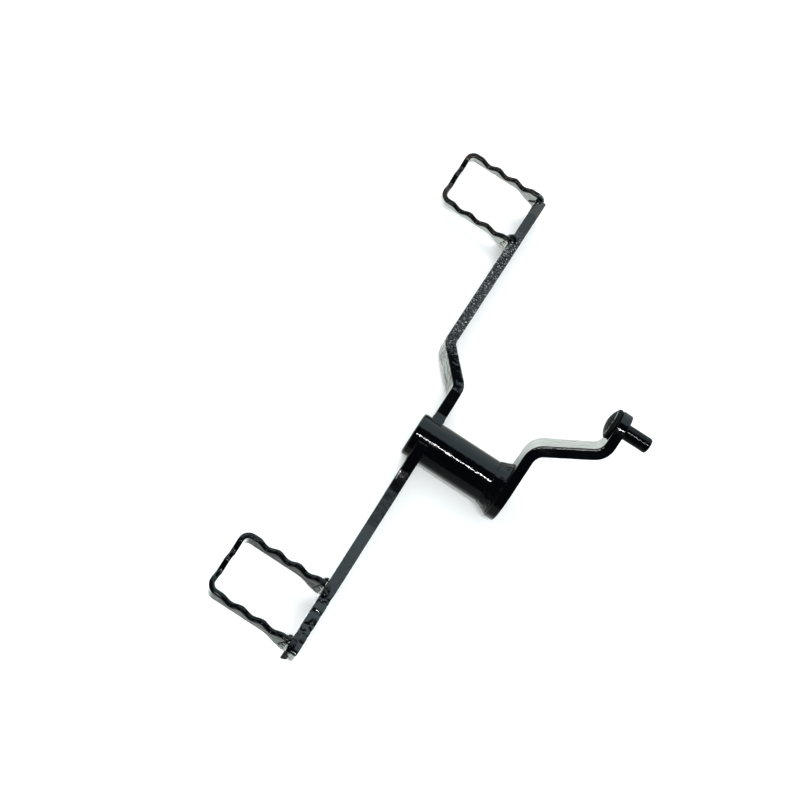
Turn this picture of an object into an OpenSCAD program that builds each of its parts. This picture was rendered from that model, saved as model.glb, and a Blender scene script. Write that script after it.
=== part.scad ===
// Heel and toe shift lever, a steel weldment that swings on its pivot tube.
// X runs along the pivot tube towards the vehicle, Y forward, Z up.
// The origin is on the axis of the pivot bore, halfway along the tube.

/* [Pivot tube] */
// Outer diameter of the pivot tube
tube_od = 24; // [21:0.5:30]
// Bore that turns on the pivot bolt
tube_bore = 16.2; // [12:0.1:17.5]
// Length of the pivot tube
tube_len = 58.4; // [50:0.2:80]
// Chamfer at both mouths of the bore
mouth_chamfer = 0.8; // [0.3:0.1:1.5]
// Rounding of the outer rims of the tube
rim_round = 0.6; // [0.2:0.1:1]

/* [Arms] */
// Thickness of the flat bar of both arms
bar_t = 6.2; // [4.6:0.2:8]
// Height of the flat bar of both arms
bar_h = 15; // [12:0.5:18]
// Outboard end of the tube to the middle of the arms
arm_inset = 7.4; // [6:0.2:12]
// Pivot axis to the end of the toe arm
front_reach = 164.8; // [150:0.2:190]
// Pivot axis to the end of the heel arm
rear_reach = 131.6; // [118:0.2:170]
// Pivot axis to the start of the joggle in the toe arm
joggle_start = 33.9; // [30:0.1:45]
// Length of the joggle along the arm
joggle_run = 19.6; // [17:0.2:30]
// Sideways offset that the joggle gives
joggle_off = 16.8; // [11:0.2:18]
// Bend radius of the joggle at the middle of the bar
joggle_r = 8; // [6:0.5:10]
// Rounding of the free corners of the bars
bar_corner = 1.2; // [0.4:0.2:2]

/* [Foot pegs] */
// Thickness of the strip that the pegs are bent from
strip_t = 3; // [2:0.2:4]
// Height of the strip of the toe peg at its crests
front_strip_h = 7.8; // [6.8:0.2:11]
// Height of the strip of the heel peg at its crests
rear_strip_h = 9; // [7:0.2:11]
// Height of the strip where it is welded to the arm
strip_root_h = 15; // [12:0.5:17]
// Length over which the strip grows to that height
flare_len = 14; // [8:0.5:16]
// Reach of the pegs from the side of the arm
peg_reach = 46.7; // [44:0.1:60]
// Width over the legs of the toe peg
front_peg_w = 34.4; // [28:0.2:40]
// Width over the legs of the heel peg
rear_peg_w = 35.4; // [28:0.2:40]
// Upward tilt of the toe peg
front_peg_tilt = 17; // [0:0.1:26]
// Upward tilt of the heel peg
rear_peg_tilt = 2.6; // [0:0.2:15]
// Top of the toe peg above the pivot axis, at its middle
front_peg_top = 10; // [6:0.2:12]
// Top of the heel peg above the pivot axis, at its middle
rear_peg_top = 7.6; // [4:0.2:9]
// End of the toe arm to the middle of the toe peg
front_peg_set = 18.8; // [18:0.1:24]
// End of the heel arm to the middle of the heel peg
rear_peg_set = 21; // [19:0.2:30]
// Bend radius of the peg corners at the middle of the strip
peg_corner_r = 4.2; // [3:0.2:6]
// Pitch of the grip waves
wave_pitch = 11.4; // [8:0.1:11.5]
// Depth of the grip waves
wave_depth = 3.8; // [1:0.2:5]
// Arm to the first crest
first_crest = 4; // [3.8:0.2:7]

/* [Link arm] */
// Thickness of the link arm
link_t = 5.8; // [4:0.1:7]
// Pitch of the link arm above the toe arm
link_pitch = 37.7; // [0:0.1:60]
// Diameter of the eye round the pivot tube
root_eye_d = 31.6; // [30:0.2:40]
// Pivot axis to the middle of the end eye
link_reach = 58; // [52:0.2:80]
// Diameter of the end eye
end_eye_d = 20.4; // [18:0.2:26]
// Pivot axis to the first bend of the link arm
link_bend_1 = 28; // [24:0.5:30]
// Pivot axis to the second bend of the link arm
link_bend_2 = 45.4; // [43:0.2:46]
// Inward offset of the end eye from the root eye
link_off = 30.4; // [15:0.2:40]
// Bend radius of the link arm at the middle of the plate
link_r = 9; // [6:0.5:9.5]

/* [Link pin] */
// Diameter of the pin
pin_d = 8.6; // [6:0.1:8.8]
// Diameter of the shoulder that is pressed into the end eye
pin_seat_d = 9.6; // [9:0.1:11]
// Length of the pin beyond the link arm
pin_len = 14.7; // [10:0.1:25]
// Pin axis beyond the middle of the end eye
pin_ahead = 1.6; // [0:0.2:2]
// Diameter of the pin head
head_d = 17; // [13:0.5:18]
// Height of the straight rim of the head
head_rim = 1.6; // [0.8:0.2:3]
// Height of the dome of the head
head_dome = 3; // [1:0.2:4]
// Chamfer at the tip of the pin
pin_chamfer = 0.9; // [0.3:0.1:1.5]

/* [Welds] */
// Radius of the weld beads round the roots of the arms
arm_weld = 1.8; // [1:0.2:2.6]
// Length of the weld ramp on top of the toe arm
front_ramp = 5; // [3:0.2:8]
// Length of the weld ramp on top of the heel arm
rear_ramp = 14.6; // [4:0.2:16]
// Length of the weld ramps under both arms
under_ramp = 5; // [3:0.2:8]
// Radius of the weld beads beside the peg legs
peg_weld = 2.4; // [1:0.2:3]
// Radius of those beads at the bottom of the leg
peg_weld_foot = 5; // [3:0.2:6]
// Radius of the weld lumps over the ends of the peg legs
weld_lump = 3.4; // [3:0.2:4]
// Length of the lumps along the arm, without their tapered ends
lump_run = 4; // [3:0.5:5]
// Length of the weld along the tube at the link arm
link_weld_run = 7.5; // [4:0.5:9]
// Height of that weld where it meets the link arm
link_weld_rise = 3.3; // [2:0.1:3.5]

/* [Hidden] */
$fn = 64;
paint = "#1b1c1e";
weld_paint = "#2a2b2e";
bend_steps = 10;
wave_steps = 12;
eye_steps = 32;
tube_r = tube_od / 2;
x_out = -tube_len / 2;
x_in = tube_len / 2;
arm_x = x_out + arm_inset;
front_x = arm_x - joggle_off;
front_peg_y = front_reach - front_peg_set;
rear_peg_y = -(rear_reach - rear_peg_set);
link_x = x_in - link_t / 2;
end_x = link_x + link_off;
pin_reach = link_reach + pin_ahead;
root_r = root_eye_d / 2;
end_r = end_eye_d / 2;
root_hold = 0.2 * flare_len;
lump_down = 0.65 * weld_lump;
front_lean = [0, 0];
rear_lean = [-1.5, -4];
ramp_foot = 0.9;
lump_in = 0.4 * weld_lump;
weld_fade = 0.6;
weld_sag = 0.65;

// Plane geometry for bent strips
function unit(v) = v / norm(v);
function left(v) = [-v[1], v[0]];
function cross2(a, b) = a[0] * b[1] - a[1] * b[0];
function reversed(v) = [for (i = [len(v) - 1 : -1 : 0]) v[i]];

// Points of an arc about centre c
function arc(c, r, from, to) =
    [for (k = [0 : eye_steps])
        let (a = from + (to - from) * k / eye_steps)
        c + r * [cos(a), sin(a)]];

// Points of one bend, on the side that lies off to the left of the path
function bend_side(p, i, r, off) =
    let (d0 = unit(p[i] - p[i - 1]), d1 = unit(p[i + 1] - p[i]),
         s = sign(cross2(d0, d1)), turn = acos(d0 * d1),
         centre = p[i] - d0 * r * tan(turn / 2) + left(d0) * r * s,
         start = atan2(-left(d0)[1] * s, -left(d0)[0] * s))
    [for (k = [0 : bend_steps])
        let (a = start + s * turn * k / bend_steps)
        centre + (r - s * off) * [cos(a), sin(a)]];

// One long edge of a strip that follows path p
function strip_edge(p, r, off) =
    let (n = len(p) - 1)
    concat([p[0] + left(unit(p[1] - p[0])) * off],
           [for (i = [1 : n - 1]) each bend_side(p, i, r, off)],
           [p[n] + left(unit(p[n] - p[n - 1])) * off]);

// Outline of a strip of thickness t that follows path p
module bent_strip(p, t, r) {
    polygon(concat(strip_edge(p, r, t / 2), reversed(strip_edge(p, r, -t / 2))));
}

// Pivot tube with eased rims
module pivot_tube() {
    color(paint)
    rotate([0, 90, 0])
    rotate_extrude()
    polygon([
        [tube_bore / 2, x_out + mouth_chamfer],
        [tube_bore / 2 + mouth_chamfer, x_out],
        [tube_r - rim_round, x_out],
        [tube_r, x_out + rim_round],
        [tube_r, x_in - rim_round],
        [tube_r - rim_round, x_in],
        [tube_bore / 2 + mouth_chamfer, x_in],
        [tube_bore / 2, x_in - mouth_chamfer]]);
}

// Body of the tube without its bore, for coping what is welded to it
module tube_blank(r) {
    rotate([0, 90, 0]) cylinder(r = r, h = tube_len * 2, center = true);
}

// Side profile of a bar from the pivot axis to its rounded end
module bar_side(reach) {
    union() {
        translate([0, -bar_h / 2]) square([reach - bar_corner, bar_h]);
        translate([reach - 2 * bar_corner, -bar_h / 2 + bar_corner])
            square([2 * bar_corner, bar_h - 2 * bar_corner]);
        for (s = [-1, 1])
            translate([reach - bar_corner, s * (bar_h / 2 - bar_corner)]) circle(bar_corner);
    }
}

// Toe arm, a flat bar on edge with a joggle, coped to the tube
module front_arm() {
    color(paint)
    difference() {
        intersection() {
            translate([0, 0, -bar_h / 2])
            linear_extrude(bar_h)
            bent_strip([[arm_x, 0],
                        [arm_x, joggle_start],
                        [front_x, joggle_start + joggle_run],
                        [front_x, front_reach]], bar_t, joggle_r);
            translate([front_x - bar_t, 0, 0])
            rotate([90, 0, 90])
            linear_extrude(joggle_off + 2 * bar_t)
            bar_side(front_reach);
        }
        tube_blank(tube_r);
    }
}

// Heel arm, a straight flat bar on edge, coped to the tube
module rear_arm() {
    color(paint)
    difference() {
        translate([arm_x - bar_t / 2, 0, 0])
        mirror([0, 1, 0])
        rotate([90, 0, 90])
        linear_extrude(bar_t)
        bar_side(rear_reach);
        tube_blank(tube_r);
    }
}

// Outline of the link arm as seen along the tube, two eyes and their tangents
module link_side() {
    lean = asin((root_r - end_r) / link_reach);
    polygon(concat(
        arc([0, 0], root_r, 90 - lean, 270 + lean),
        arc([link_reach, 0], end_r, lean - 90, 90 - lean)));
}

// Link arm, a tapered plate bent into a joggle, with its eye round the tube
module link_arm() {
    color(paint)
    rotate([link_pitch, 0, 0])
    difference() {
        intersection() {
            translate([0, 0, -root_eye_d])
            linear_extrude(2 * root_eye_d)
            bent_strip([[link_x, -root_eye_d],
                        [link_x, link_bend_1],
                        [end_x, link_bend_2],
                        [end_x, link_reach + end_eye_d]], link_t, link_r);
            translate([x_in - 2 * link_t, 0, 0])
            rotate([90, 0, 90])
            linear_extrude(link_off + 3 * link_t)
            link_side();
        }
        tube_blank(tube_r);
        translate([end_x - link_t, pin_reach, 0])
            rotate([0, 90, 0]) cylinder(d = pin_seat_d, h = 2 * link_t);
    }
}

// Link pin with a domed head and a shoulder that fills the end eye
module link_pin() {
    face = end_x - link_t / 2;
    tip = face + link_t + pin_len;
    dome_r = (pow(head_d / 2, 2) + pow(head_dome, 2)) / (2 * head_dome);
    dome_turn = asin(head_d / 2 / dome_r);
    crown = face - head_rim - head_dome;
    color(paint)
    rotate([link_pitch, 0, 0])
    translate([0, pin_reach, 0])
    rotate([0, 90, 0])
    rotate_extrude()
    polygon(concat(
        [[0, tip], [0, crown]],
        [for (k = [1 : bend_steps])
            let (a = dome_turn * k / bend_steps)
            [dome_r * sin(a), crown + dome_r * (1 - cos(a))]],
        [[head_d / 2, face],
         [pin_seat_d / 2, face],
         [pin_seat_d / 2, face + link_t],
         [pin_d / 2, face + link_t],
         [pin_d / 2, tip - pin_chamfer],
         [pin_d / 2 - pin_chamfer, tip]]));
}

// Dip between two crests, drawn downward from the top of the strip
module wave_dip() {
    polygon(concat(
        [[wave_pitch / 2, 1], [-wave_pitch / 2, 1]],
        [for (k = [0 : wave_steps])
            [wave_pitch * (k / wave_steps - 0.5),
             -wave_depth * (1 - cos(360 * k / wave_steps)) / 2]]));
}

// What the underside of the strip leaves free, from its outer side to the flare
module strip_relief(h) {
    steps = 12;
    polygon(concat(
        [[-peg_reach - 1, -strip_root_h - 1], [-peg_reach - 1, -h]],
        [for (k = [0 : steps])
            [-flare_len + (flare_len - root_hold) * k / steps,
             -h - (strip_root_h - h) * (1 - cos(180 * k / steps)) / 2]],
        [[-root_hold, -strip_root_h - 1]]));
}

// Foot peg of width w and strip height h, its top at zero and its legs ending at x zero
module peg_blank(w, h) {
    mid = w / 2 - strip_t / 2;
    outer = -peg_reach + strip_t / 2;
    difference() {
        translate([0, 0, -strip_root_h])
        linear_extrude(strip_root_h)
        bent_strip([[0, mid], [outer, mid], [outer, -mid], [0, -mid]], strip_t, peg_corner_r);
        translate([0, w, 0]) rotate([90, 0, 0]) linear_extrude(2 * w) strip_relief(h);
        for (i = [0 : 2])
            translate([-first_crest - wave_pitch * (i + 0.5), w, 0])
                rotate([90, 0, 0]) linear_extrude(2 * w) wave_dip();
        for (s = [-1, 1])
            translate([-peg_reach - 1, s * wave_pitch / 2, 0])
                rotate([90, 0, 90]) linear_extrude(strip_t + 2) wave_dip();
    }
}

// Weld beads up both sides of the two legs, each pair ending in a lump on the arm's edge
module peg_beads(w, top, tilt, lean) {
    mid = w / 2 - strip_t / 2;
    for (i = [0, 1]) {
        leg = 2 * i - 1;
        edge = (bar_h / 2 - lump_down - top - leg * mid * sin(tilt)) / cos(tilt);
        crown = min(0, edge);
        for (side = [-1, 1])
            translate([0, leg * mid + side * strip_t / 2, -strip_root_h + peg_weld])
                weld_run(peg_weld, strip_root_h - peg_weld + crown, peg_weld_foot);
        translate([lump_in, leg * mid - lump_run / 2 + lean[i], crown])
            rotate([-90, 0, 0]) weld_run(weld_lump, lump_run, weld_lump);
    }
}

// Run of weld of length h, its radius going from foot to r, with ends that taper off
module weld_run(r, h, foot) {
    fade = weld_fade * r;
    cylinder(r1 = foot, r2 = r, h = h);
    translate([0, 0, h]) cylinder(r1 = r, r2 = r / 2, h = fade);
    translate([0, 0, -fade]) cylinder(r1 = foot / 2, r2 = foot, h = fade);
}

// The ends of the legs at their full height, for cutting the welds
module leg_roots(w) {
    for (leg = [-1, 1])
        translate([-peg_reach, leg * (w - strip_t) / 2 - strip_t / 2, -2 * strip_root_h])
            cube([peg_reach, strip_t, 2 * strip_root_h]);
}

// Seat of the toe peg on the outboard side of its arm
module at_front_peg() {
    translate([front_x - bar_t / 2, front_peg_y, front_peg_top])
        rotate([front_peg_tilt, 0, 0]) children();
}

// Seat of the heel peg on the outboard side of its arm
module at_rear_peg() {
    translate([arm_x - bar_t / 2, rear_peg_y, rear_peg_top])
        rotate([-rear_peg_tilt, 0, 0]) children();
}

module front_peg() {
    color(paint) at_front_peg() peg_blank(front_peg_w, front_strip_h);
}

module rear_peg() {
    color(paint) at_rear_peg() peg_blank(rear_peg_w, rear_strip_h);
}

// Welds of the toe peg, cut by the arm and by the strip that they join
module front_peg_welds() {
    color(weld_paint)
    difference() {
        at_front_peg() peg_beads(front_peg_w, front_peg_top, front_peg_tilt, front_lean);
        at_front_peg() leg_roots(front_peg_w);
        translate([front_x - bar_t / 2, 0, -bar_h / 2]) cube([bar_t, front_reach, bar_h]);
    }
}

// Welds of the heel peg, cut the same way
module rear_peg_welds() {
    color(weld_paint)
    difference() {
        at_rear_peg() peg_beads(rear_peg_w, rear_peg_top, -rear_peg_tilt, rear_lean);
        at_rear_peg() leg_roots(rear_peg_w);
        translate([arm_x - bar_t / 2, -rear_reach, -bar_h / 2]) cube([bar_t, rear_reach, bar_h]);
    }
}

// Side view of a weld ramp from the tube down to an edge of the arm, its foot at y = far
module weld_ramp(far) {
    root = [tube_r * sin(30), tube_r * cos(30)];
    base = bar_h / 2;
    polygon([[0, base], [far, base], [far - ramp_foot / 3, base + ramp_foot / 2],
             [far - ramp_foot, base + ramp_foot], root, [0, root[1]]]);
}

// Weld at the root of an arm, a bead down both flanks and a ramp over each edge
module arm_bead(top_run) {
    seat = sqrt(pow(tube_r, 2) - pow(bar_h / 2, 2));
    difference() {
        union() {
            intersection() {
                for (side = [-1, 1])
                    translate([arm_x + side * bar_t / 2, 0, 0])
                    rotate([0, 90, 0])
                    rotate_extrude()
                    translate([tube_r, 0]) circle(arm_weld);
                translate([x_out, 0, -bar_h / 2 - arm_weld / 2])
                    cube([tube_len, tube_od, bar_h + arm_weld]);
            }
            translate([arm_x - bar_t / 2, 0, 0])
            rotate([90, 0, 90])
            linear_extrude(bar_t) weld_ramp(seat + top_run);
            translate([arm_x - bar_t / 2, 0, 0])
            mirror([0, 0, 1])
            rotate([90, 0, 90])
            linear_extrude(bar_t) weld_ramp(seat + under_ramp);
        }
        translate([arm_x - bar_t / 2, 0, -bar_h / 2]) cube([bar_t, 2 * tube_od, bar_h]);
        tube_blank(tube_r);
    }
}

module front_arm_weld() { color(weld_paint) arm_bead(front_ramp); }
module rear_arm_weld() { color(weld_paint) mirror([0, 1, 0]) arm_bead(rear_ramp); }

// Weld round the tube against the outboard face of the link arm
module link_arm_weld() {
    face = x_in - link_t;
    bead_steps = 8;
    color(weld_paint)
    rotate([0, 90, 0])
    rotate_extrude()
    polygon(concat(
        [[tube_r, face]],
        [for (k = [0 : bead_steps])
            let (a = 90 * k / bead_steps)
            [tube_r + link_weld_rise * (1 - sin(a) * (1 - weld_sag) - (a / 90) * weld_sag),
             face - link_weld_run * (a / 90 * weld_sag + (1 - cos(a)) * (1 - weld_sag))]]));
}

pivot_tube();
front_arm();
rear_arm();
link_arm();
link_pin();
front_peg();
rear_peg();
front_arm_weld();
rear_arm_weld();
link_arm_weld();
front_peg_welds();
rear_peg_welds();
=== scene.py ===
# Looks of the heel and toe shift lever: glossy black paint brushed over a steel weldment.
# Lengths are in metres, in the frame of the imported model.
import math

import bmesh
import bpy
from mathutils import Matrix, Vector


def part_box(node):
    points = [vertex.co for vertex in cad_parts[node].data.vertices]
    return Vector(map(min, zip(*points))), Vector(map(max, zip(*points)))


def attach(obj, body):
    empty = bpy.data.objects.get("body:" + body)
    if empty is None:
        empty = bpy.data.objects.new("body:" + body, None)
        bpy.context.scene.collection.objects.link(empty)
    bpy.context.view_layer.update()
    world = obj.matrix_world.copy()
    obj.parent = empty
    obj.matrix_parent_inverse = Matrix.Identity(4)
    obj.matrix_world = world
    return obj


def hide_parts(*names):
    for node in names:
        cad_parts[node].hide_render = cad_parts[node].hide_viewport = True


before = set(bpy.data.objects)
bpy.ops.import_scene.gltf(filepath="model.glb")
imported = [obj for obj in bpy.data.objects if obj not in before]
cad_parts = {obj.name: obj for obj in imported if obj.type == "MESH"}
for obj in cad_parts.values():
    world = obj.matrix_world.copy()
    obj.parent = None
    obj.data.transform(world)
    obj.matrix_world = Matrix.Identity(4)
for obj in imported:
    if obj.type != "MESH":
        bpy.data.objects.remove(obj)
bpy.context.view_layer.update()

MM = 0.001
BODY = "root"

# Sizes of the steel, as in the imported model
STRIP_T = 3 * MM
STRIP_ROOT_H = 15 * MM
STRIP_CORNER = 0.75 * MM
FLARE_LEN = 14 * MM
PEG_REACH = 46.7 * MM
PEG_CORNER_R = 4.2 * MM
WAVE_PITCH = 11.4 * MM
WAVE_DEPTH = 3.8 * MM
LEG_WAVES = 3
FIRST_CREST = 4 * MM
TUBE_BORE_R = 8.1 * MM
TUBE_CHAMFER = 0.8 * MM
TUBE_RIM = 1.1 * MM
FRONT_PEG = {"width": 34.4 * MM, "height": 7.8 * MM, "tilt": math.radians(17),
             "set": 18.8 * MM, "top": 10 * MM}
REAR_PEG = {"width": 35.4 * MM, "height": 9 * MM, "tilt": math.radians(-2.6),
            "set": 21 * MM, "top": 7.6 * MM}

# Slopes of the uneven coat on the arms, as start and end along Y and rise over run
TOE_SAGS = [(14 * MM, 30 * MM, 0.18), (30 * MM, 36 * MM, 0.075), (36 * MM, 60 * MM, 0.17),
            (60 * MM, 95 * MM, 0.10), (95 * MM, 134 * MM, 0.12)]
HEEL_SAGS = [(-36 * MM, -24 * MM, 0.09), (-42 * MM, -36 * MM, 0.02), (-50 * MM, -42 * MM, 0.01),
             (-132 * MM, -58 * MM, -0.07)]

# Lip of paint that runs aslant over the root of the heel arm, in the same form as the sags,
# how far it runs forward for each step inboard, and the middle of that arm
ROOT_LIP = [(-29 * MM, -28 * MM, 0.14), (-28 * MM, -27 * MM, 0.22), (-27 * MM, -24.2 * MM, 0.30),
            (-24.2 * MM, -21 * MM, 0.275)]
LIP_SLANT = 0.9
HEEL_ARM_X = -21.8 * MM

# Axis of the link pin, as Y and Z, the depth of its head, and the painted highlight ring on the
# head
PIN_AXIS = (47.157 * MM, 36.447 * MM)
PIN_HEAD = 4.6 * MM
HIGHLIGHT_RING_R = 6.9 * MM

# Zones of the toe arm with a hammered coat and with painted sheen and glints: where each starts,
# is full, fades and ends along Y
HAMMERED = (44 * MM, 56 * MM, 131 * MM, 138 * MM)
GLINT_ZONE = (44 * MM, 60 * MM, 131 * MM, 140 * MM)

# Where paint has come off the end of the toe arm
BARE_FROM = 152.5 * MM
BARE_TO = 153.5 * MM

# Colours of the paints, of what shows through them, and of painted sheen, glints and highlights
JET_BLACK = (0.0007, 0.0009, 0.0015)
HEEL_BLACK = (0.0012, 0.0014, 0.002)
TOE_BLACK = (0.001, 0.0012, 0.0018)
THIN_BLACK = (0.003, 0.003, 0.0035)
PAINTED_SHEEN_GREY = (0.060, 0.064, 0.068)
PAINTED_GLINT_WHITE = (0.45, 0.46, 0.46)
BARE_STEEL = (0.030, 0.029, 0.026)
HIGHLIGHT_RING_GREY = (0.20, 0.21, 0.20)
SCUFFED_BROWN = (0.022, 0.017, 0.014)
RUST = (0.095, 0.028, 0.016)

# Fineness of the dressed meshes
VOXEL = 0.38 * MM
WELD_VOXEL = 0.3 * MM
TUBE_STEP = 0.4 * MM
EASE_PASSES = 5
MERGE_GAP = 0.001 * MM


class Sock:
    """A socket that can be used in sums."""

    def __init__(self, web, out):
        self.web = web
        self.out = out

    def maths(self, operation, a, b):
        return self.web.add("ShaderNodeMath", {"operation": operation}, {0: a, 1: b})[0]

    def __add__(self, other):
        return self.maths("ADD", self, other)

    def __radd__(self, other):
        return self.maths("ADD", other, self)

    def __sub__(self, other):
        return self.maths("SUBTRACT", self, other)

    def __rsub__(self, other):
        return self.maths("SUBTRACT", other, self)

    def __mul__(self, other):
        return self.maths("MULTIPLY", self, other)

    def __rmul__(self, other):
        return self.maths("MULTIPLY", other, self)

    def __truediv__(self, other):
        return self.maths("DIVIDE", self, other)

    def __rtruediv__(self, other):
        return self.maths("DIVIDE", other, self)

    def __pow__(self, other):
        return self.maths("POWER", self, other)

    def __gt__(self, other):
        return self.maths("GREATER_THAN", self, other)

    def __lt__(self, other):
        return self.maths("LESS_THAN", self, other)

    def __abs__(self):
        return self.maths("ABSOLUTE", self, 0)

    def least(self, other):
        return self.maths("MINIMUM", self, other)

    def most(self, other):
        return self.maths("MAXIMUM", self, other)

    def cosine(self):
        return self.maths("COSINE", self, 0)

    def ramp(self, start, end):
        """From 0 at start to 1 at end, with soft ends."""
        return self.web.add("ShaderNodeMapRange", {"interpolation_type": "SMOOTHSTEP"},
                            {"Value": self, "From Min": start, "From Max": end})[0]


class Made:
    """A node that has been made, with its outputs by name or number."""

    def __init__(self, web, node):
        self.web = web
        self.node = node

    def __getitem__(self, key):
        return Sock(self.web, self.node.outputs[key])


class Web:
    """A node tree that is built by calls."""

    def __init__(self, tree):
        self.tree = tree

    def add(self, kind, settings=None, values=None):
        node = self.tree.nodes.new(kind)
        for name, value in (settings or {}).items():
            setattr(node, name, value)
        for key, value in (values or {}).items():
            self.feed(node.inputs[key], value)
        return Made(self, node)

    def feed(self, socket, value):
        if isinstance(value, Sock):
            self.tree.links.new(value.out, socket)
        else:
            socket.default_value = value

    def noise(self, vector, size, detail=2.0, roughness=0.5, distortion=0.0):
        """Noise from 0 to 1 whose lumps are about as large as size."""
        values = {"Vector": vector, "Scale": 1 / size, "Detail": detail,
                  "Roughness": roughness, "Distortion": distortion}
        return self.add("ShaderNodeTexNoise", {}, values)["Fac"]

    def split(self, vector):
        """Separate node whose outputs 0, 1 and 2 are X, Y and Z."""
        return self.add("ShaderNodeSeparateXYZ", {}, {0: vector})

    def mix_colour(self, factor, a, b):
        """Colour a where factor is 0 and b where it is 1."""
        a, b = (c if isinstance(c, Sock) else (*c, 1) for c in (a, b))
        return self.add("ShaderNodeMix", {"data_type": "RGBA"},
                        {"Factor": factor, 6: a, 7: b})[2]


class GeoTree(Web):
    """A geometry tree with one mesh in, one mesh out and named inputs."""

    def __init__(self, name, inputs):
        tree = bpy.data.node_groups.new(name, "GeometryNodeTree")
        super().__init__(tree)
        face = tree.interface
        face.new_socket("Geometry", in_out="INPUT", socket_type="NodeSocketGeometry")
        self.kinds = {}
        for label, (kind, default) in inputs.items():
            socket = face.new_socket(label, in_out="INPUT", socket_type="NodeSocket" + kind)
            if default is not None:
                socket.default_value = default
            self.kinds[label] = socket.identifier
        face.new_socket("Geometry", in_out="OUTPUT", socket_type="NodeSocketGeometry")
        self.source = self.add("NodeGroupInput")

    def __getitem__(self, label):
        return self.source[label]

    def finish(self, geometry):
        """Realizes and paints the geometry, and hands it out."""
        real = self.add("GeometryNodeRealizeInstances", {}, {"Geometry": geometry})[0]
        smooth = self.add("GeometryNodeSetShadeSmooth", {}, {"Geometry": real})[0]
        painted = self.add("GeometryNodeSetMaterial", {},
                           {"Geometry": smooth, "Material": self["Paint"]})[0]
        self.add("NodeGroupOutput", {}, {"Geometry": painted})
        return self

    def put_on(self, obj, values):
        """Adds the tree to an object as a modifier, its inputs set by identifier."""
        modifier = obj.modifiers.new(self.tree.name, "NODES")
        modifier.node_group = self.tree
        for label, value in values.items():
            modifier[self.kinds[label]] = value


# Trees that shape the pieces


def coat_tree():
    """Eases the edges of a steel form and lays lumpy paint over it.

    Where the noise is below the level called flush, which is most of it, the paint sinks in.
    """
    geo = GeoTree("coat", {
        "Paint": ("Material", None),
        "Ease Passes": ("Int", EASE_PASSES),
        "Inset": ("Float", 0.04 * MM),
        "Lump Depth": ("Float", 0.05 * MM),
        "Lump Size": ("Float", 3.0 * MM),
        "Pit Depth": ("Float", 0.0),
        "Pit Size": ("Float", 1.6 * MM),
        "Pit From": ("Float", -1.0),
        "Pit To": ("Float", 1.0),
        "Seed": ("Float", 0.0),
    })
    place = geo.add("GeometryNodeInputPosition")[0]
    blur = geo.add("GeometryNodeBlurAttribute", {"data_type": "FLOAT_VECTOR"},
                   {"Value": place, "Iterations": geo["Ease Passes"]})[0]
    eased = geo.add("GeometryNodeSetPosition", {},
                    {"Geometry": geo["Geometry"], "Position": blur})[0]
    shift = geo.add("ShaderNodeCombineXYZ", {}, {0: geo["Seed"]})[0]
    where = geo.add("ShaderNodeVectorMath", {"operation": "ADD"}, {0: place, 1: shift})[0]
    lumps = geo.noise(where, 1, detail=2.0)
    geo.feed(lumps.out.node.inputs["Scale"], 1 / geo["Lump Size"])
    pits = geo.noise(where, 1, detail=1.0, distortion=0.6)
    geo.feed(pits.out.node.inputs["Scale"], 1 / geo["Pit Size"])
    along = geo.split(place)[1]
    fade = 8 * MM
    zone = (along - geo["Pit From"]) / fade
    zone = zone.least((geo["Pit To"] - along) / fade).least(1).most(0)
    flush = 0.62
    depth = (lumps - flush) * geo["Lump Depth"] * 2 - geo["Inset"]
    depth = depth - pits.ramp(0.44, 0.62) * zone * geo["Pit Depth"]
    normal = geo.add("GeometryNodeInputNormal")[0]
    push = geo.add("ShaderNodeVectorMath", {"operation": "SCALE"},
                   {0: normal, "Scale": depth})[0]
    coated = geo.add("GeometryNodeSetPosition", {}, {"Geometry": eased, "Offset": push})[0]
    return geo.finish(coated)


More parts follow.
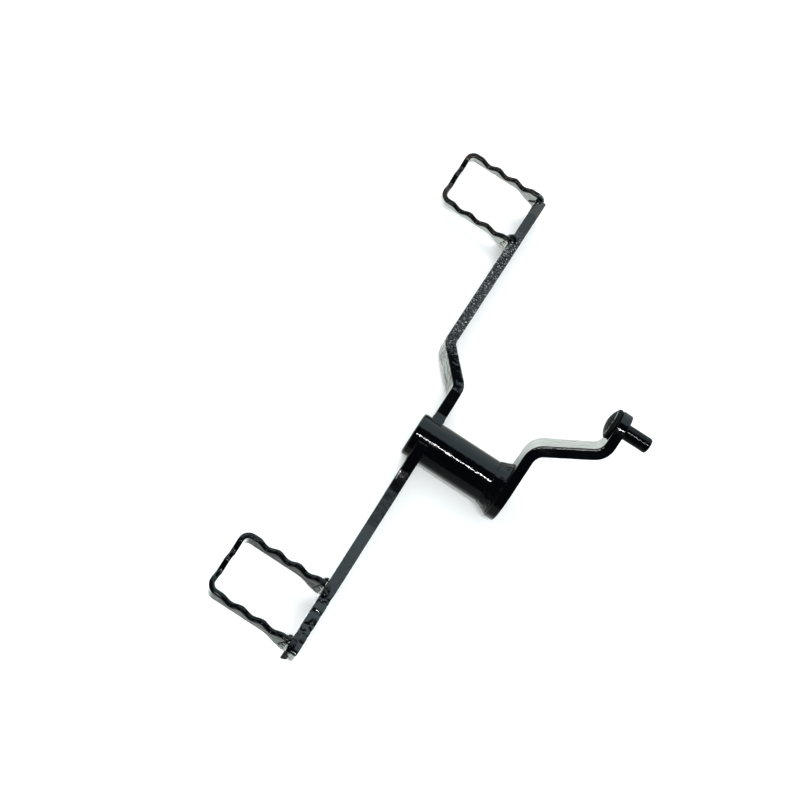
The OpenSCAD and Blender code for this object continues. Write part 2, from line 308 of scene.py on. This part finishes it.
def peg_tree():
    """Sweeps a strip along a U path, with waves along its top and flared roots."""
    geo = GeoTree("peg", {
        "Paint": ("Material", None),
        "Strip Thickness": ("Float", STRIP_T),
        "Strip Height": ("Float", 9 * MM),
        "Root Height": ("Float", STRIP_ROOT_H),
        "Edge Radius": ("Float", STRIP_CORNER),
        "Flare Length": ("Float", FLARE_LEN),
        "Reach": ("Float", PEG_REACH),
        "Corner Radius": ("Float", PEG_CORNER_R),
        "Wave Pitch": ("Float", WAVE_PITCH),
        "Wave Depth": ("Float", WAVE_DEPTH),
        "First Crest": ("Float", FIRST_CREST),
        "Mesh Size": ("Float", VOXEL),
        "Seat": ("Vector", (0, 0, 0)),
        "Turn": ("Rotation", (0, 0, 0)),
    })
    line = geo.add("GeometryNodeMeshToCurve", {}, {"Mesh": geo["Geometry"]})[0]
    bent = geo.add("GeometryNodeFilletCurve", {"mode": "POLY"},
                   {"Curve": line, "Count": 12, "Radius": geo["Corner Radius"]})[0]
    path = geo.add("GeometryNodeResampleCurve", {"mode": "LENGTH"},
                   {"Curve": bent, "Length": geo["Mesh Size"]})[0]
    path = geo.add("GeometryNodeSetCurveNormal", {"mode": "Z_UP"}, {"Curve": path})[0]
    section = geo.add("GeometryNodeCurvePrimitiveQuadrilateral", {},
                      {"Width": geo["Strip Thickness"], "Height": geo["Strip Height"]})[0]
    section = geo.add("GeometryNodeFilletCurve", {"mode": "POLY"},
                      {"Curve": section, "Count": 5, "Radius": geo["Edge Radius"]})[0]
    section = geo.add("GeometryNodeResampleCurve", {"mode": "LENGTH"},
                      {"Curve": section, "Length": geo["Mesh Size"]})[0]
    swept = geo.add("GeometryNodeCurveToMesh", {},
                    {"Curve": path, "Profile Curve": section, "Fill Caps": True})[0]
    place = geo.add("GeometryNodeInputPosition")[0]
    split = geo.split(place)
    x, y, z = split[0], split[1], split[2]
    straight = geo["Strip Height"] - geo["Edge Radius"] * 2
    weight = ((z + straight * 0.5) / straight).least(1).most(0)
    turn = 2 * math.pi / geo["Wave Pitch"]
    run = geo["First Crest"] * -1 - x
    leg_dip = (1 - (run * turn).cosine()) * 0.5 * (run > 0) * (run < geo["Wave Pitch"] * LEG_WAVES)
    end_dip = (1 - (y * turn).cosine()) * 0.5 * (abs(y) < geo["Wave Pitch"])
    at_end = x < geo["Strip Thickness"] * 1.4 - geo["Reach"]
    dip = leg_dip.most(end_dip * at_end) * geo["Wave Depth"]
    flare = ((x + geo["Flare Length"]) / (geo["Flare Length"] * 0.8)).least(1).most(0)
    drop = (1 - (flare * math.pi).cosine()) * 0.5 * (geo["Root Height"] - geo["Strip Height"])
    half = geo["Strip Height"] * 0.5
    new_z = z - half - dip * weight - drop * (1 - weight)
    shaped = geo.add("ShaderNodeCombineXYZ", {}, {0: x, 1: y, 2: new_z})[0]
    strip = geo.add("GeometryNodeSetPosition", {}, {"Geometry": swept, "Position": shaped})[0]
    seated = geo.add("GeometryNodeTransform", {},
                     {"Geometry": strip, "Translation": geo["Seat"], "Rotation": geo["Turn"]})[0]
    return geo.finish(seated)


# Meshes


def new_object(name, mesh):
    obj = bpy.data.objects.new(name, mesh)
    bpy.context.scene.collection.objects.link(obj)
    return obj


def merged_copy(node):
    """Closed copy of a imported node, its doubles merged."""
    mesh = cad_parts[node].data.copy()
    mesh.materials.clear()
    work = bmesh.new()
    work.from_mesh(mesh)
    bmesh.ops.remove_doubles(work, verts=work.verts, dist=MERGE_GAP)
    work.to_mesh(mesh)
    work.free()
    return new_object(node + "_blank", mesh)


def polyline(name, points):
    """A chain of edges through the points."""
    mesh = bpy.data.meshes.new(name)
    edges = [(i, i + 1) for i in range(len(points) - 1)]
    mesh.from_pydata([tuple(p) for p in points], edges, [])
    return new_object(name, mesh)


def settled(obj, name):
    """Plain mesh object made from what the modifiers give, in place of obj."""
    graph = bpy.context.evaluated_depsgraph_get()
    graph.update()
    mesh = bpy.data.meshes.new_from_object(obj.evaluated_get(graph))
    mesh.name = name
    bpy.data.objects.remove(obj)
    return new_object(name, mesh)


def outward(obj):
    """Points every face of a closed mesh outwards."""
    work = bmesh.new()
    work.from_mesh(obj.data)
    bmesh.ops.remove_doubles(work, verts=work.verts, dist=MERGE_GAP)
    bmesh.ops.recalc_face_normals(work, faces=work.faces)
    work.to_mesh(obj.data)
    work.free()
    return obj


def remeshed(obj, voxel=VOXEL):
    """Gives a closed form an even mesh that can be eased."""
    modifier = obj.modifiers.new("steel", "REMESH")
    modifier.mode = "VOXEL"
    modifier.voxel_size = voxel
    modifier.use_smooth_shade = True
    return obj


def turned(name, outline, step):
    """Closed body turned about X from (x, radius) points, with fine rings."""
    fine = [outline[0]]
    for a, b in zip(outline, outline[1:] + outline[:1]):
        count = max(1, round(math.dist(a, b) / step))
        fine += [(a[0] + (b[0] - a[0]) * k / count, a[1] + (b[1] - a[1]) * k / count)
                 for k in range(1, count + 1)]
    fine = fine[:-1]
    around = round(2 * math.pi * max(r for x, r in fine) / step)
    points = []
    for x, r in fine:
        for k in range(around):
            angle = 2 * math.pi * k / around
            points.append((x, r * math.sin(angle), r * math.cos(angle)))
    faces = []
    for i in range(len(fine)):
        j = (i + 1) % len(fine)
        for k in range(around):
            m = (k + 1) % around
            faces.append((i * around + k, j * around + k, j * around + m, i * around + m))
    mesh = bpy.data.meshes.new(name)
    mesh.from_pydata(points, [], faces)
    return outward(new_object(name, mesh))


def hand_over(obj, slot, *nodes):
    """Hangs the piece under its body's empty and hides the nodes it stands in for; slot is unused.
    """
    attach(obj, BODY)
    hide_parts(*nodes)


# Materials


class Paint(Web):
    """A paint under way: its tree, its shader and the place on the piece.

    Rough gives the least and the greatest roughness, and bump the height of the grain in
    tenths of a millimetre. Each sag is a stretch of Y from start to end over which the coat
    rises at a slope. A function given as more adds its own height to that of the coat.
    """

    def __init__(self, name, base, rough, bump, grain, sags=(), more=None, ior=1.52):
        self.material = bpy.data.materials.new(name)
        self.material.use_nodes = True
        super().__init__(self.material.node_tree)
        self.inputs = self.tree.nodes["Principled BSDF"].inputs
        self.place = self.add("ShaderNodeTexCoord")["Object"]
        parts = self.split(self.place)
        self.x, self.y, self.z = parts[0], parts[1], parts[2]
        streaks = self.noise(self.place, 9 * MM, detail=3.0)
        self.roughness = rough[0] + (rough[1] - rough[0]) * streaks.ramp(0.35, 0.7)
        self.feed(self.inputs["Roughness"], self.roughness)
        height = self.noise(self.place, grain) * (0.1 * MM * bump)
        ragged = self.y + (self.noise(self.place, 5 * MM) - 0.5) * (3 * MM)
        for start, end, slope in sags:
            height = height + ragged.most(start).least(end) * slope
        if more:
            height = height + more(self)
        raised = self.add("ShaderNodeBump", {},
                          {"Strength": 1.0, "Distance": 1.0, "Height": height})[0]
        self.feed(self.inputs["Normal"], raised)
        self.inputs["Base Color"].default_value = (*base, 1)
        self.inputs["IOR"].default_value = ior

    def facing_up(self):
        """1 on faces that look up, 0 on walls."""
        return self.split(self.add("ShaderNodeNewGeometry")["True Normal"])[2].ramp(0.5, 0.8)

    def top_of(self, zone):
        """1 on faces that look up in a zone along Y, which fades in and out at its ends."""
        start, full, fading, end = zone
        return self.y.ramp(start, full) * self.y.ramp(end, fading) * self.facing_up()

    def colour(self, colour):
        self.feed(self.inputs["Base Color"], colour)

    def dull(self, least):
        """Keeps the roughness at or above a value that changes over the piece."""
        self.feed(self.inputs["Roughness"], self.roughness.most(least))


def root_lip(paint):
    """Height of the lip of paint over the root of the heel arm."""
    aslant = paint.y - (paint.x - HEEL_ARM_X) * LIP_SLANT
    aslant = aslant + (paint.noise(paint.place, 2.2 * MM) - 0.5) * (0.6 * MM)
    return sum(aslant.most(start).least(end) * slope for start, end, slope in ROOT_LIP)


def hammering(paint):
    """Height of the fine pits along the top of the toe arm."""
    return paint.noise(paint.place, 1.3 * MM) * paint.top_of(HAMMERED) * (0.7 * MM)


def gloss_paint():
    """Thick gloss black, brushed on and nearly smooth."""
    return Paint("gloss_paint", JET_BLACK, (0.05, 0.12), 0.8, 1.8 * MM).material


def satin_paint():
    """Gloss black on the heel arm, a little duller."""
    return Paint("bar_paint", HEEL_BLACK, (0.10, 0.20), 0.2, 1.4 * MM,
                 HEEL_SAGS, root_lip, 1.75).material


def weld_paint(name, bump):
    """Gloss black run over the rough welds."""
    return Paint(name, JET_BLACK, (0.05, 0.12), bump, 1.5 * MM, more=root_lip).material


def hammered_paint():
    """Gloss black on a pitted top coat with painted glints, chipped to dull grey at the end."""
    paint = Paint("hammered_paint", TOE_BLACK, (0.06, 0.14), 0.2, 1.4 * MM,
                  TOE_SAGS, hammering, 1.7)
    edge = paint.y + (paint.noise(paint.place, 4 * MM, detail=3.0) - 0.5) * (6 * MM)
    bare = edge.ramp(BARE_FROM, BARE_TO)
    glint_area = paint.top_of(GLINT_ZONE)
    # Painted highlight: grey specks stand in for sheen and white specks for glints of light off
    # the pitted top.
    glint_noise = paint.noise(paint.place, 0.9 * MM, roughness=0.6)
    colour = paint.mix_colour(glint_noise.ramp(0.50, 0.60) * glint_area, TOE_BLACK, PAINTED_SHEEN_GREY)
    colour = paint.mix_colour(glint_noise.ramp(0.64, 0.68) * glint_area, colour, PAINTED_GLINT_WHITE)
    paint.colour(paint.mix_colour(bare, colour, BARE_STEEL))
    paint.dull(bare * 0.45)
    return paint.material


def pin_paint():
    """Thin black on the pin, dull on its head, with a painted highlight along a ring on the head.
    """
    paint = Paint("pin_paint", JET_BLACK, (0.05, 0.10), 0.4, 1.4 * MM, ior=1.35)
    head = paint.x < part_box("link_pin")[0].x + PIN_HEAD
    radius = ((paint.y - PIN_AXIS[0]) ** 2 + (paint.z - PIN_AXIS[1]) ** 2) ** 0.5
    patchy = paint.noise(paint.place, 1.5 * MM).ramp(0.35, 0.5)
    # Painted highlight: a broken ring of light grey where the dome of the head meets its rim.
    highlight_ring = abs(radius - HIGHLIGHT_RING_R).ramp(0.4 * MM, 0.15 * MM) * head * patchy
    paint.colour(paint.mix_colour(highlight_ring, JET_BLACK, HIGHLIGHT_RING_GREY))
    paint.dull(head * 0.65)
    return paint.material


def worn_paint():
    """Black worn to brown steel and spots of rust on the waved edge."""
    paint = Paint("worn_paint", THIN_BLACK, (0.08, 0.16), 0.5, 1.4 * MM)
    top = paint.facing_up()
    broad = paint.noise(paint.place, 7 * MM, detail=3.0)
    spots = paint.noise(paint.place, 3.2 * MM, detail=4.0, roughness=0.7)
    scuffed = broad.ramp(0.42, 0.62) * (0.3 + top * 0.7)
    rusty = spots.ramp(0.60, 0.70) * scuffed
    colour = paint.mix_colour(scuffed, THIN_BLACK, SCUFFED_BROWN)
    paint.colour(paint.mix_colour(rusty, colour, RUST))
    paint.dull(top * 0.3)
    return paint.material


# Pieces

COAT = coat_tree()
PEG = peg_tree()


def coated(obj, name, paint, **values):
    """Finishes a steel form with the coat and settles it."""
    inputs = {"Paint": paint}
    inputs.update({key.replace("_", " ").title(): value for key, value in values.items()})
    COAT.put_on(obj, inputs)
    return settled(obj, name)


def tube(paint):
    """Pivot tube turned anew, with a chamfered bore and softly rounded rims."""
    low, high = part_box("pivot_tube")
    r = high.z
    mouth = TUBE_BORE_R + TUBE_CHAMFER
    eased = TUBE_RIM * 0.3
    outline = [
        (low.x, mouth), (low.x, r - TUBE_RIM), (low.x + eased, r - eased), (low.x + TUBE_RIM, r),
        (high.x - TUBE_RIM, r), (high.x - eased, r - eased), (high.x, r - TUBE_RIM),
        (high.x, mouth), (high.x - TUBE_CHAMFER, TUBE_BORE_R),
        (low.x + TUBE_CHAMFER, TUBE_BORE_R)]
    body = turned("tube_blank", outline, TUBE_STEP)
    piece = coated(body, "pivot_tube_painted", paint, ease_passes=2, inset=0.02 * MM,
                   lump_depth=0.03 * MM, lump_size=3.2 * MM)
    hand_over(piece, "gloss_paint", "pivot_tube")


def bar(node, paint, **values):
    """Dressed copy of one of the bent plates."""
    piece = coated(remeshed(merged_copy(node)), node + "_painted", paint, **values)
    hand_over(piece, "gloss_paint", node)


def peg_seat(arm, sizes, forward):
    """Middle of a peg's root, on the outboard side of its arm and level with its top."""
    low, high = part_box(arm)
    end = high.y - sizes["set"] if forward else low.y + sizes["set"]
    return Vector((low.x, end, sizes["top"]))


def peg(node, arm, sizes, forward, paint, slot):
    """Dressed foot peg on the outboard side of its arm."""
    mid = sizes["width"] / 2 - STRIP_T / 2
    outer = STRIP_T / 2 - PEG_REACH
    corners = [(0, mid, 0), (outer, mid, 0), (outer, -mid, 0), (0, -mid, 0)]
    path = polyline(node + "_path", corners)
    PEG.put_on(path, {"Paint": paint, "Strip Height": sizes["height"],
                      "Seat": peg_seat(arm, sizes, forward), "Turn": (sizes["tilt"], 0, 0)})
    strip = outward(settled(path, node + "_strip"))
    piece = coated(strip, node + "_painted", paint, ease_passes=2, inset=0.03 * MM,
                   lump_depth=0.10 * MM, lump_size=3.5 * MM, seed=0.1)
    hand_over(piece, slot, node)


def weld(node, paint, trim, **values):
    """Dressed copy of one of the weld nodes, whose points are moved by the function trim."""
    blank = merged_copy(node)
    for vertex in blank.data.vertices:
        trim(vertex.co)
    piece = coated(remeshed(blank, WELD_VOXEL), node + "_painted", paint,
                   inset=0.0, seed=0.3, **values)
    hand_over(piece, "weld_paint", node)


def flanks_of(node, dressed):
    """Trim that grinds the flanks of a weld back by the length dressed."""
    low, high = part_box(node)

    def trim(point):
        point.x = min(max(point.x, low.x + dressed), high.x - dressed)
    return trim


def walls_of(arm, sizes, forward, proud=0.7 * MM):
    """Trim that flattens the beads in front of the legs of a peg, to stand as proud as given."""
    seat = peg_seat(arm, sizes, forward)
    lean = Matrix.Rotation(sizes["tilt"], 3, "X")
    half = sizes["width"] / 2

    def trim(point):
        local = lean.transposed() @ (point - seat)
        wall = half - STRIP_T if local.y > 0 else -half
        if point.x < seat.x and local.y < half - STRIP_T:
            local.y = max(local.y, wall - proud)
            point.yz = (lean @ local + seat).yz
    return trim


# Stage, lamps and camera


def white_floor():
    """Plain white floor under the lever, tilted as the lever rests on it.

    The paint mirrors it dim in front of the lever and close to the tube, and bright elsewhere.
    """
    slope_x, slope_y, level = -0.0731, 0.0109, -14.09 * MM
    reach = 3.0
    corners = [(-reach, -reach), (reach, -reach), (reach, reach), (-reach, reach)]
    points = [(x, y, slope_x * x + slope_y * y + level) for x, y in corners]
    mesh = bpy.data.meshes.new("floor")
    mesh.from_pydata(points, [], [(0, 1, 2, 3)])
    floor = new_object("floor", mesh)
    material = bpy.data.materials.new("floor_white")
    material.use_nodes = True
    web = Web(material.node_tree)
    material.node_tree.nodes.clear()
    rays = web.add("ShaderNodeLightPath")
    glossy = rays["Is Glossy Ray"]
    incoming = web.split(web.add("ShaderNodeNewGeometry")["Incoming"])
    back, up = incoming[1], incoming[2]
    shape = back.ramp(0.45, -0.05) * up.ramp(0.45, 0.92)
    shape = shape * (1 - 0.62 * back.ramp(-0.2, -0.5) * up.ramp(0.68, 0.82))
    spot = web.split(web.add("ShaderNodeTexCoord")["Object"])
    shaded = abs(spot[0]).ramp(60 * MM, 40 * MM) * abs(spot[1]).ramp(46 * MM, 26 * MM)
    shape = shape * (1 - 0.85 * shaded)
    glare = 0.08 + 0.34 * back.ramp(0.65, 0.5) + 1.9 * shape
    seen = rays["Is Camera Ray"] * 0.2 + glossy * glare
    mirrored = web.mix_colour(shape, (0.09, 0.093, 0.094), (0.45, 0.465, 0.47))
    shade = web.mix_colour(glossy, (0.86, 0.88, 0.885), mirrored)
    lit = web.add("ShaderNodeBsdfDiffuse", {}, {"Color": shade})[0]
    tint = web.mix_colour(glossy, (1, 1, 1), (0.92, 1.0, 0.94))
    glow = web.add("ShaderNodeEmission", {}, {"Color": tint, "Strength": seen})[0]
    both = web.add("ShaderNodeAddShader", {}, {0: lit, 1: glow})[0]
    web.add("ShaderNodeOutputMaterial", {}, {"Surface": both})
    mesh.materials.append(material)


def studio_world():
    """Pale dome that is dim behind the viewer, and plain white to the camera."""
    world = bpy.data.worlds.new("studio")
    bpy.context.scene.world = world
    world.use_nodes = True
    web = Web(world.node_tree)
    world.node_tree.nodes.clear()
    ahead = web.split(web.add("ShaderNodeTexCoord")["Generated"])[1]
    rays = web.add("ShaderNodeLightPath")
    glossy, viewed = rays["Is Glossy Ray"], rays["Is Camera Ray"]
    dome = ahead.ramp(0.31, 0.40)
    level = (1 - glossy) * 0.9 + glossy * (0.015 + dome * 0.85)
    strength = viewed + (1 - viewed) * level
    tint = web.mix_colour(glossy, (0.93, 0.985, 1.0), (0.78, 0.98, 1.06))
    back = web.add("ShaderNodeBackground", {}, {"Color": tint, "Strength": strength})[0]
    web.add("ShaderNodeOutputWorld", {}, {"Surface": back})


def lamp(name, place, size, power, mirrored):
    """Rectangular lamp that looks at the origin, its long side along X, mirrored or not."""
    data = bpy.data.lights.new(name, "AREA")
    data.shape = "RECTANGLE"
    data.size, data.size_y = size
    data.energy = power
    light = bpy.data.objects.new(name, data)
    bpy.context.scene.collection.objects.link(light)
    back = Vector(place).normalized()
    side = Vector((1, 0, 0)) - back * back.x
    side.normalize()
    up = back.cross(side)
    turn = Matrix((side, up, back)).transposed().to_4x4()
    light.matrix_world = Matrix.Translation(place) @ turn
    light.visible_glossy = mirrored


def camera():
    """Camera of the photograph, from the place and slant of the tube in the picture."""
    focal_px = 1200
    frame_px = 800
    tilt = math.radians(27.14)
    yaw = math.radians(-1.04)
    slant = math.radians(32.89)
    tube_end_px = (412.8, 432.7)
    distance = 615.4 * MM
    along = Vector((math.cos(slant), math.sin(slant), 0))
    across = Vector((math.sin(slant), -math.cos(slant), 0))
    deep = Vector((0, 0, 1))
    flat = deep * math.cos(yaw) - along * math.sin(yaw)
    x_axis = along * math.cos(yaw) + deep * math.sin(yaw)
    y_axis = across * math.cos(tilt) + flat * math.sin(tilt)
    z_axis = across * math.sin(tilt) - flat * math.cos(tilt)
    turn = Matrix((x_axis, y_axis, z_axis)).transposed()
    offset = [(p - frame_px / 2) * distance / focal_px for p in tube_end_px]
    sight = Vector((offset[0], offset[1], distance))
    tube_end = Vector((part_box("pivot_tube")[0].x, 0, 0))
    place = tube_end - turn.transposed() @ sight
    data = bpy.data.cameras.new("photo_view")
    data.sensor_width = 36
    data.lens = data.sensor_width * focal_px / frame_px
    data.clip_start = 0.01
    view = bpy.data.objects.new("photo_view", data)
    bpy.context.scene.collection.objects.link(view)
    right, down, ahead = turn[0], turn[1], turn[2]
    aim = Matrix((right, -down, -ahead)).transposed().to_4x4()
    view.matrix_world = Matrix.Translation(place) @ aim
    bpy.context.scene.camera = view


def build():
    """Makes the paints and every piece."""
    gloss, bars, hammered = gloss_paint(), satin_paint(), hammered_paint()
    patchy, pins = worn_paint(), pin_paint()
    seams, speckled = weld_paint("weld_paint", 0.7), weld_paint("speckled_weld_paint", 3.0)
    tube(gloss)
    bar("front_arm", hammered, lump_depth=0.10 * MM, pit_depth=0.22 * MM, pit_size=1.2 * MM,
        pit_from=40 * MM, pit_to=136 * MM)
    bar("rear_arm", bars, lump_depth=0.05 * MM, seed=0.2, pit_depth=0.32 * MM, pit_size=3.4 * MM,
        pit_from=-128 * MM, pit_to=-96 * MM)
    bar("link_arm", gloss, lump_depth=0.08 * MM, seed=0.4)
    bar("link_pin", pins, lump_depth=0.10 * MM, seed=0.5)
    peg("front_peg", "front_arm", FRONT_PEG, True, patchy, "worn_paint")
    peg("rear_peg", "rear_arm", REAR_PEG, False, gloss, "gloss_paint")
    for node in ("front_arm_weld", "rear_arm_weld"):
        weld(node, seams, flanks_of(node, 1.5 * MM), ease_passes=8, lump_depth=0.08 * MM)
    weld("link_arm_weld", seams, flanks_of("link_arm_weld", 0), ease_passes=10,
         lump_depth=0.40 * MM, lump_size=4.0 * MM)
    beads = {"ease_passes": 16, "lump_depth": 0.35 * MM, "lump_size": 2.4 * MM}
    weld("front_peg_welds", speckled, walls_of("front_arm", FRONT_PEG, True), **beads)
    weld("rear_peg_welds", seams, walls_of("rear_arm", REAR_PEG, False), **beads)


build()
white_floor()
studio_world()
camera()
lamp("strip_lamp", place=(0.15, -0.55, 1.6), size=(0.9, 0.035), power=10.8, mirrored=True)
lamp("key_lamp", place=(-0.9, 1.1, 1.5), size=(0.9, 0.9), power=18, mirrored=False)

bpy.context.scene.view_settings.view_transform = "Standard"
